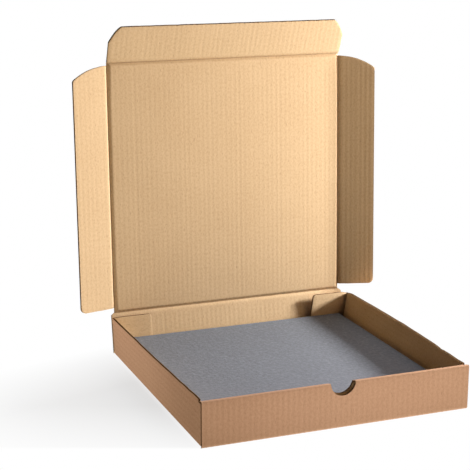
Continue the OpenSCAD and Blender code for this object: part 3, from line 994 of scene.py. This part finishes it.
def tray_pieces():
    """Tray: floor and sides with the rear fold's bead, four ears, the rolled front and its inner board."""
    floor_and_sides = Mesh()
    base_sheet(floor_and_sides)
    bead_ends = back_origin - RIGHT * INNER_HALF_W, back_origin + RIGHT * INNER_HALF_W
    floor_and_sides.rod(*bead_ends, BEAD_R, inward=np.array([0.0, -0.5, 1.0]))
    ready(floor_and_sides, "tray_floor_and_sides", "tray", "kraft_outside", "tray")
    ears = Mesh()
    front_ear = FRONT_EAR - BEND_R
    front_top = WALL_H - ROLL_FALL
    for side in (-1, 1):
        ear_sheet(ears, side, REAR_END_Y - BEND_R, 1, REAR_EAR, REAR_EAR_R, 13 + side)
        ear_sheet(ears, side, WALL_START_Y + BEND_R, -1, front_ear, FRONT_EAR_R, 17 + side, front_top)
    ready(ears, "tray_ears", "tray", "kraft_outside", "tray")
    front = Mesh()
    front_sheets(front)
    ready(front, "tray_rolled_front", "tray", "kraft_outside", "tray")
    inner_front = Mesh()
    inner_front_sheet(inner_front)
    ready(inner_front, "tray_inner_front", "tray", "kraft_outside", "tray")


def pad_piece():
    """Fibre pad: a slab with quarter circles at its corners in plan and at its edges in height, its top
    faintly uneven by two crossed ripples."""
    low, high = (np.array(corner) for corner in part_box("liner_pad"))
    half_w, half_d = (high - low)[:2] / 2
    centre = (low + high) / 2
    s = stations(-1.0, 1.0, PAD_COLUMN_SHARE, PAD_EDGE_STEPS / half_w, PAD_EDGE_STEPS / half_w)
    y = stations(-half_d, half_d, PAD_ROW, PAD_EDGE_STEPS, PAD_EDGE_STEPS)
    into = np.clip(np.abs(y) - (half_d - PAD_CORNER_R), 0, PAD_CORNER_R)
    wide = half_w - arc_fall(into, PAD_CORNER_R)
    x = s[:, None] * wide[None, :]
    y = np.broadcast_to(y[None, :], x.shape)
    edge = np.minimum(wide[None, :] * (1 - np.abs(s)[:, None]), half_d - np.abs(y))
    fall = arc_fall(np.clip(PAD_EDGE_R - edge, 0, PAD_EDGE_R), PAD_EDGE_R)
    fuzz = ripple(x + 0.6 * y, 51, *PAD_FUZZ_WAVES) + ripple(y - 0.5 * x, 52, *PAD_CROSS_WAVES)
    top = high[2] - fall - PAD_FUZZ_FALL * np.abs(PAD_FUZZ * fuzz / 2)
    bottom = low[2] + PAD_FOOT_FALL * fall

    def place(z):
        """The slab's grid at the heights z."""
        return np.stack([x + centre[0], y + centre[1], z], -1)

    mesh = Mesh()
    mesh.sheet(place(bottom), place(top), np.stack([x, y], -1), np.zeros_like(x), (0, 0, 0))
    pad = mesh.piece("fibre_pad", (pad_felt,))
    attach(pad, "tray")
    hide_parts("liner_pad")


lid_piece()
tuck_piece()
wing_piece("left_wing_board", "left_wing", side=-1, angle=LEFT_FOLD, seed=6, flute_shade=LEFT_WING_FLUTE_SHADE)
wing_piece("right_wing_board", "right_wing", side=1, angle=RIGHT_FOLD, seed=7, flute_shade=0.0)
back_piece()
tray_pieces()
pad_piece()


# Stage: a white floor that fades into a white surround, except in a painted shadow to the left of the box,
# which the box's own shadow darkens further
FLOOR_HALF = 3.0
# Shape of the painted shadow: its rear and front edges with their softness, and its ends in X
SHADOW_REAR_AT = (-0.149, 0.190, 0.0)
SHADOW_REAR_IN = (0.273, -0.962, 0.0)
SHADOW_REAR_SOFT = 0.13
SHADOW_FRONT_AT = (-0.155, -0.158, 0.0)
SHADOW_FRONT_IN = (0.360, 0.933, 0.0)
SHADOW_FRONT_SOFT = 0.12
SHADOW_FRONT_STEP = 0.28
SHADOW_STEP_SOFT = 0.006
SHADOW_LEFT = (-0.47, -0.175)
SHADOW_RIGHT = (-0.135, -0.160)
# Unseen glow of the floor, a painted bounce light: even, and in two patches
FLOOR_GLOW = 0.66
FLOOR_GLOW_COLOUR = (1.0, 0.84, 0.62, 1)
LEFT_GLOW = 1.9
LEFT_GLOW_AT = (-0.36, 0.10, 0.0)
LEFT_GLOW_REACH = 0.32
FRONT_GLOW = 2.75
FRONT_GLOW_AT = (0.09, -0.45, 0.0)
FRONT_GLOW_REACH = 0.45
GLOW_PATCH_COLOUR = (1.0, 0.95, 0.92, 1)
PAPER_COLOUR = (0.115, 0.12, 0.125, 1)
FLOOR_SHOWN = 0.715
WHITE = (1, 1, 1, 1)


def shown_ray(m):
    """1 where the stage is seen, straight, mirrored or through something, 0 where it lights the object."""
    path = m.new("ShaderNodeLightPath").outputs
    either = m.math("MAXIMUM", path["Is Camera Ray"], path["Is Glossy Ray"])
    return m.math("MAXIMUM", either, path["Is Transmission Ray"])


def painted_shadow_share(m, spot):
    """How much of the painted shadow the floor shows at a spot, a shape that the box's own shadow darkens
    further: ramps inwards from its rear edge, its front edge and both its ends in X, multiplied. A part of
    the front ramp is one short step."""
    place = m.new("ShaderNodeSeparateXYZ", {0: spot})

    def inside(corner, inward, soft):
        """0 outside the shadow's edge through corner, 1 from soft inside it."""
        along = m.new("ShaderNodeVectorMath", {0: spot, 1: inward}, operation="DOT_PRODUCT")
        edge = sum(a * b for a, b in zip(corner, inward))
        return m.ramp(along.outputs["Value"], edge, edge + soft)

    rear = inside(SHADOW_REAR_AT, SHADOW_REAR_IN, SHADOW_REAR_SOFT)
    slow = inside(SHADOW_FRONT_AT, SHADOW_FRONT_IN, SHADOW_FRONT_SOFT)
    step = inside(SHADOW_FRONT_AT, SHADOW_FRONT_IN, SHADOW_STEP_SOFT)
    slow = m.math("MULTIPLY", slow, 1 - SHADOW_FRONT_STEP)
    step = m.math("MULTIPLY", step, SHADOW_FRONT_STEP)
    share = m.math("MULTIPLY", rear, m.math("ADD", slow, step))
    for limits in (SHADOW_LEFT, SHADOW_RIGHT):
        share = m.math("MULTIPLY", share, m.ramp(place.outputs[0], *limits))
    return share


def bounce_light(m, spot):
    """What the floor gives the object: an even warm glow, and two patches of light that fall off evenly with
    the distance from their middles."""

    def patch(middle, strength, reach):
        """Strength of a patch: full in its middle, 0 from reach on."""
        away = m.new("ShaderNodeVectorMath", {0: spot, 1: middle}, operation="DISTANCE")
        return m.math("MULTIPLY", m.ramp(away.outputs["Value"], reach, 0.0), strength)

    left = patch(LEFT_GLOW_AT, LEFT_GLOW, LEFT_GLOW_REACH)
    front = patch(FRONT_GLOW_AT, FRONT_GLOW, FRONT_GLOW_REACH)
    patches = m.emission(GLOW_PATCH_COLOUR, m.math("ADD", left, front))
    return m.added(m.emission(FLOOR_GLOW_COLOUR, FLOOR_GLOW), patches)


def white_floor():
    """A floor that is seen as grey paper in a painted shadow, which the box's own shadow darkens further, and
    as white around it; unseen, it glows as painted bounce light.
    """
    far = FLOOR_HALF
    mesh = bpy.data.meshes.new("floor")
    mesh.from_pydata([(-far, -far, 0), (far, -far, 0), (far, far, 0), (-far, far, 0)], [], [(0, 1, 2, 3)])
    floor = bpy.data.objects.new("floor", mesh)
    bpy.context.scene.collection.objects.link(floor)
    m = Nodes(bpy.data.materials.new("floor_white"))
    m.tree.nodes.remove(m.shader)
    spot = m.new("ShaderNodeTexCoord").outputs["Object"]
    paper = m.new("ShaderNodeBsdfDiffuse", {"Color": PAPER_COLOUR})
    shown = shown_ray(m)
    seen = m.added(paper.outputs[0], m.emission(WHITE, FLOOR_SHOWN))
    near = m.faded(shown, bounce_light(m, spot), seen)
    # Outside the painted shadow the floor is plain white
    bare = m.math("MULTIPLY", shown, m.math("SUBTRACT", 1.0, painted_shadow_share(m, spot)))
    surface = m.faded(bare, near, m.emission(WHITE, 1.0))
    m.fill(m.tree.nodes["Material Output"], {"Surface": surface})
    mesh.materials.append(m.owner)


def surround():
    """White where it is seen, and no light on the object."""
    world = bpy.data.worlds.new("surround")
    bpy.context.scene.world = world
    m = Nodes(world)
    dark = m.tree.nodes["Background"]
    m.fill(dark, {"Strength": 0.0})
    seen = m.new("ShaderNodeBackground", {"Color": WHITE, "Strength": 1.0})
    surface = m.faded(shown_ray(m), dark.outputs[0], seen.outputs[0])
    m.fill(m.tree.nodes["World Output"], {"Surface": surface})


def area_light(name, place, target, size, power, colour):
    """A round lamp at a place, turned to its target."""
    data = bpy.data.lights.new(name, "AREA")
    data.shape = "DISK"
    data.size = size
    data.energy = power
    data.color = colour
    lamp = bpy.data.objects.new(name, data)
    aim = Vector(target) - Vector(place)
    lamp.matrix_world = Matrix.Translation(place) @ aim.to_track_quat("-Z", "Y").to_matrix().to_4x4()
    bpy.context.scene.collection.objects.link(lamp)


def camera():
    """The photograph's view: back points from the object to the camera, the shifts place it in the frame."""
    a, e = VIEW_AZIMUTH, VIEW_ELEVATION
    back = Vector((math.sin(a) * math.cos(e), -math.cos(a) * math.cos(e), math.sin(e)))
    level = Vector((math.cos(a), math.sin(a), 0))
    upright = back.cross(level)
    right = math.cos(VIEW_ROLL) * level + math.sin(VIEW_ROLL) * upright
    up = back.cross(right)
    eye = back * VIEW_DISTANCE - right * VIEW_SHIFT_X - up * VIEW_SHIFT_Y
    data = bpy.data.cameras.new("camera")
    data.sensor_width = SENSOR_MM
    data.lens = SENSOR_MM * FOCAL_PX / PICTURE_PX
    obj = bpy.data.objects.new("camera", data)
    obj.matrix_world = Matrix.Translation(eye) @ Matrix((right, up, back)).transposed().to_4x4()
    bpy.context.scene.collection.objects.link(obj)
    bpy.context.scene.camera = obj


white_floor()
surround()
area_light("key", place=(0.86, -0.075, 0.335), target=(0.0, 0.10, 0.25), size=0.18, power=26.6,
           colour=(0.97, 0.96, 0.97))
area_light("overhead", place=(0.55, 0.45, 1.7), target=(0.0, 0.0, 0.0), size=1.0, power=20.0,
           colour=(1.0, 0.98, 0.97))
area_light("right_fill", place=(0.9, -0.5, 1.1), target=(0.0, 0.0, 0.1), size=0.8, power=8.0,
           colour=(1.0, 0.72, 0.50))
camera()
bpy.context.scene.view_settings.view_transform = "Standard"
